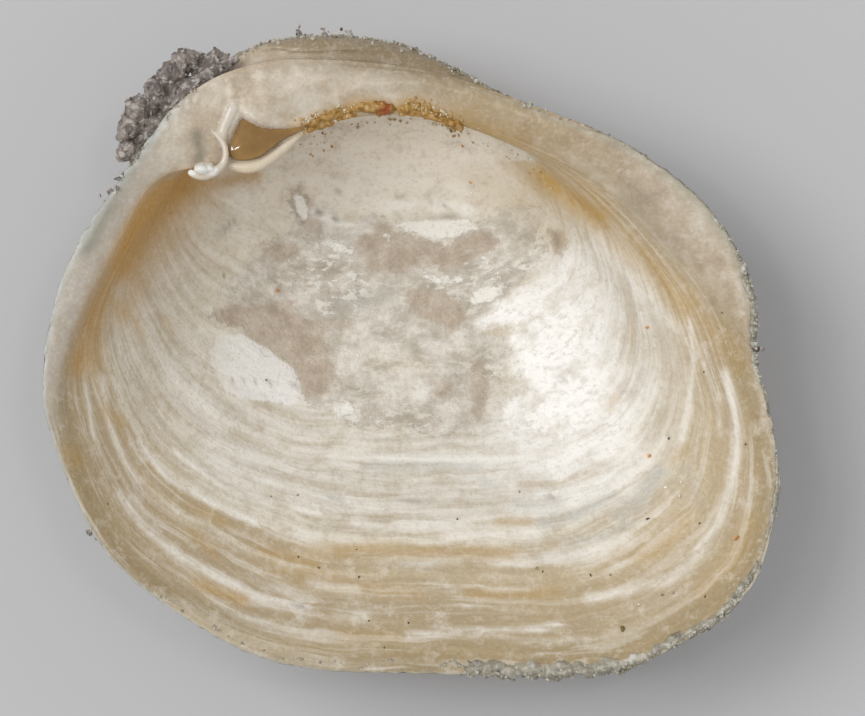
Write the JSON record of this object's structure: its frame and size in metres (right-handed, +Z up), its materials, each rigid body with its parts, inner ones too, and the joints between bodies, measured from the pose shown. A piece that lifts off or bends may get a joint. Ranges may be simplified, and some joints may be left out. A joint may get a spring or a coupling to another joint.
{
  "type": "small bivalve shell, one valve",
  "caption": "One valve of a small thin inflated clam, hollow side up, with hooked hinge tooth, dried ligament and sand grains.",
  "frame": {"origin": "bottom centre of the bounding box, level with the flat spot that the valve rests on", "axes": "+X along the shell's length towards its longer end, +Y towards the hinge, +Z up, out of the hollow"},
  "size_m": [0.007, 0.0062, 0.0019],
  "materials": {
    "shell": "chalky cream and ochre aragonite, satin inside, with growth lines",
    "ligament": "dried amber brown ligament, glossy",
    "sand": "rough mixed quartz sand, grey-brown"
  },
  "bodies": {
    "root": {"valve": "shell", "ligament_pad": "ligament", "ligament_shred": "ligament", "sand_clump": "sand", "sand_grain_beak_left": "sand", "sand_grain_beak_middle": "sand", "sand_grain_beak_right": "sand", "sand_grain_left": "sand", "sand_grain_left_upper": "sand", "sand_grain_lower_left": "sand", "sand_grain_right": "sand"}
  },
  "joints": []
}
